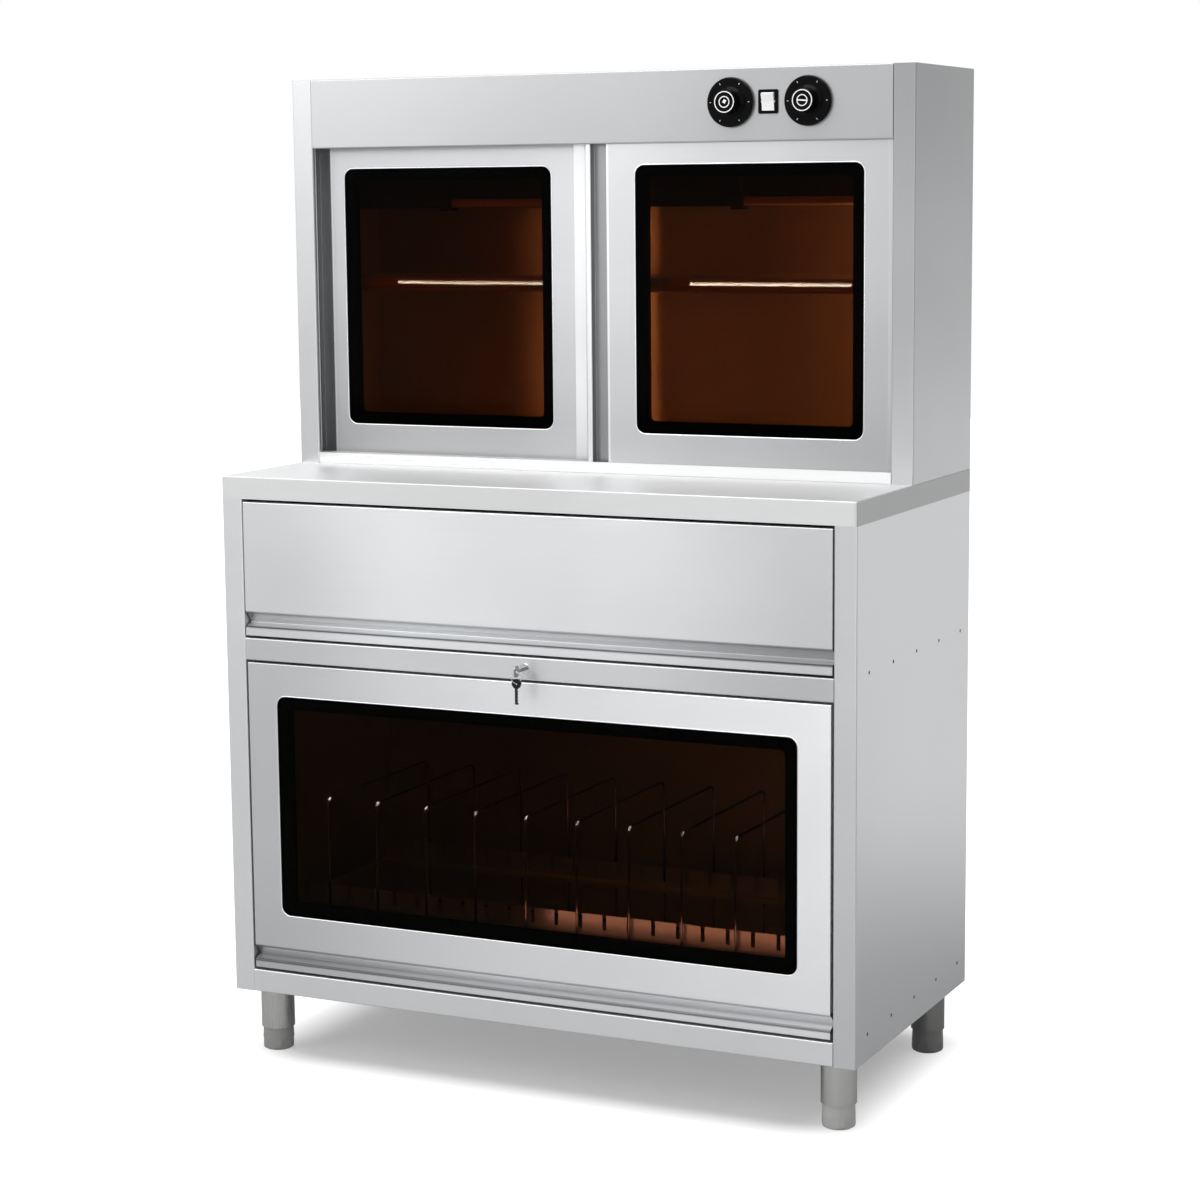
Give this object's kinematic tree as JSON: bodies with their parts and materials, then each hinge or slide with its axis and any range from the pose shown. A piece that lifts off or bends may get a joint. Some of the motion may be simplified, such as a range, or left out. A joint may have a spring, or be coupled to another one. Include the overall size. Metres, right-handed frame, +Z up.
{
  "type": "sterilizer cabinet",
  "caption": "Two-tier stainless utensil sterilizer: tinted sliding doors under a control header, a worktop, a shallow drawer and a deep windowed drawer with a board rack.",
  "frame": {"origin": "on the floor under the centre of the overall box, which runs from the tip of the key in the lock to the back", "axes": "+Z up, the doors and drawers face -Y, +X to the viewer's right when facing the front"},
  "size_m": [1.2, 0.62, 1.76],
  "materials": {
    "sheet_steel": "satin stainless sheet",
    "inner_steel": "plain stainless sheet",
    "track_steel": "bright stainless channel",
    "leg_grey": "grey enamel",
    "foot_grey": "grey moulded plastic",
    "runner_zinc": "zinc plated",
    "rivet_steel": "steel",
    "quartz": "milky quartz tube",
    "holder_steel": "plain steel",
    "control_plastic": "moulded phenolic",
    "bezel_black": "black moulding",
    "knob_black": "black moulding",
    "rocker_white": "white moulding",
    "lock_chrome": "chrome plated",
    "key_metal": "nickel plated with a dark bow",
    "wire_chrome": "polished wire",
    "tinted_glass": "tea-brown tint",
    "gasket_black": "black rubber",
    "nylon": "nylon"
  },
  "bodies": {
    "cabinet": {"left_side_panel": "sheet_steel", "right_side_panel": "sheet_steel", "back_panel": "inner_steel", "bottom_panel": "sheet_steel", "middle_rail": "sheet_steel", "drawer_partition": "inner_steel", "worktop": "sheet_steel", "leg_sleeves": "leg_grey", "runner_supports": "inner_steel", "fixed_runners": "runner_zinc", "side_rivets": "rivet_steel", "upper_left_side_panel": "sheet_steel", "upper_right_side_panel": "sheet_steel", "upper_back_panel": "inner_steel", "roof_panel": "sheet_steel", "header_panel": "sheet_steel", "door_tracks": "track_steel", "chamber_ceiling": "inner_steel", "shelf": "inner_steel", "shelf_ledges": "inner_steel", "heating_tubes": "quartz", "tube_holders": "holder_steel", "timer_body": "control_plastic", "thermostat_body": "control_plastic", "switch_housing": "bezel_black", "mains_connections": "control_plastic", "lock_housing": "lock_chrome"},
    "left_door": {"left_door_frame": "sheet_steel", "left_door_pull": "sheet_steel", "left_door_glass": "tinted_glass", "left_door_gasket": "gasket_black", "left_door_glides": "nylon"},
    "right_door": {"right_door_frame": "sheet_steel", "right_door_pull": "sheet_steel", "right_door_glass": "tinted_glass", "right_door_gasket": "gasket_black", "right_door_glides": "nylon"},
    "upper_drawer": {"upper_drawer_front": "sheet_steel", "upper_drawer_box": "inner_steel", "upper_drawer_runners": "runner_zinc"},
    "upper_runner_middle": {"upper_middle_runners": "runner_zinc"},
    "lower_drawer": {"lower_drawer_front": "sheet_steel", "lower_drawer_glass": "tinted_glass", "lower_drawer_gasket": "gasket_black", "lower_drawer_tray": "inner_steel", "slotted_rails": "sheet_steel", "lower_drawer_runners": "runner_zinc"},
    "lower_runner_middle": {"lower_middle_runners": "runner_zinc"},
    "rack": {"divider_rack": "wire_chrome"},
    "timer_dial": {"timer_knob": "knob_black"},
    "thermostat_dial": {"thermostat_knob": "knob_black"},
    "power_rocker": {"rocker": "rocker_white"},
    "lock_cylinder": {"lock_plug": "lock_chrome", "lock_cam": "runner_zinc", "key": "key_metal"},
    "hanging_ring": {"key_ring": "lock_chrome"},
    "front_left_foot": {"foot_front_left": "foot_grey"},
    "front_right_foot": {"foot_front_right": "foot_grey"},
    "rear_left_foot": {"foot_rear_left": "foot_grey"},
    "rear_right_foot": {"foot_rear_right": "foot_grey"}
  },
  "joints": [
    {"name": "left_door_slide", "type": "slide", "parent": "cabinet", "child": "left_door", "axis": [1, 0, 0], "range_m": [0, 0.52]},
    {"name": "right_door_slide", "type": "slide", "parent": "cabinet", "child": "right_door", "axis": [-1, 0, 0], "range_m": [0, 0.52]},
    {"name": "upper_drawer_slide", "type": "slide", "parent": "cabinet", "child": "upper_drawer", "axis": [0, -1, 0], "range_m": [0, 0.45]},
    {"name": "upper_runner_slide", "type": "slide", "parent": "cabinet", "child": "upper_runner_middle", "axis": [0, -1, 0], "range_m": [0, 0.225]},
    {"name": "lower_drawer_slide", "type": "slide", "parent": "cabinet", "child": "lower_drawer", "axis": [0, -1, 0], "range_m": [0, 0.45]},
    {"name": "lower_runner_slide", "type": "slide", "parent": "cabinet", "child": "lower_runner_middle", "axis": [0, -1, 0], "range_m": [0, 0.225]},
    {"name": "rack_lift", "type": "slide", "parent": "lower_drawer", "child": "rack", "axis": [0, 0, 1], "range_m": [0, 0.15]},
    {"name": "timer_turn", "type": "hinge", "parent": "cabinet", "child": "timer_dial", "pos_m": [0.27, 0, 1.702], "axis": [0, 1, 0], "range_deg": [0, 300]},
    {"name": "thermostat_turn", "type": "hinge", "parent": "cabinet", "child": "thermostat_dial", "pos_m": [0.411, 0, 1.702], "axis": [0, 1, 0], "range_deg": [0, 300]},
    {"name": "power_rock", "type": "hinge", "parent": "cabinet", "child": "power_rocker", "pos_m": [0.338, -0.001, 1.702], "axis": [1, 0, 0], "range_deg": [-26, 0]},
    {"name": "lock_turn", "type": "hinge", "parent": "cabinet", "child": "lock_cylinder", "pos_m": [0, -0.25, 0.751], "axis": [0, 1, 0], "range_deg": [0, 90]},
    {"name": "key_ring_swing", "type": "hinge", "parent": "lock_cylinder", "child": "hanging_ring", "pos_m": [0, -0.302, 0.751], "axis": [1, 0, 0], "range_deg": [-90, 30]},
    {"name": "front_left_foot_screw", "type": "slide", "parent": "cabinet", "child": "front_left_foot", "axis": [0, 0, 1], "range_m": [-0.025, 0]},
    {"name": "front_right_foot_screw", "type": "slide", "parent": "cabinet", "child": "front_right_foot", "axis": [0, 0, 1], "range_m": [-0.025, 0]},
    {"name": "rear_left_foot_screw", "type": "slide", "parent": "cabinet", "child": "rear_left_foot", "axis": [0, 0, 1], "range_m": [-0.025, 0]},
    {"name": "rear_right_foot_screw", "type": "slide", "parent": "cabinet", "child": "rear_right_foot", "axis": [0, 0, 1], "range_m": [-0.025, 0]}
  ],
  "couplings": [
    {"joint": "upper_runner_slide", "follows": "upper_drawer_slide", "ratio": 0.5},
    {"joint": "lower_runner_slide", "follows": "lower_drawer_slide", "ratio": 0.5}
  ]
}
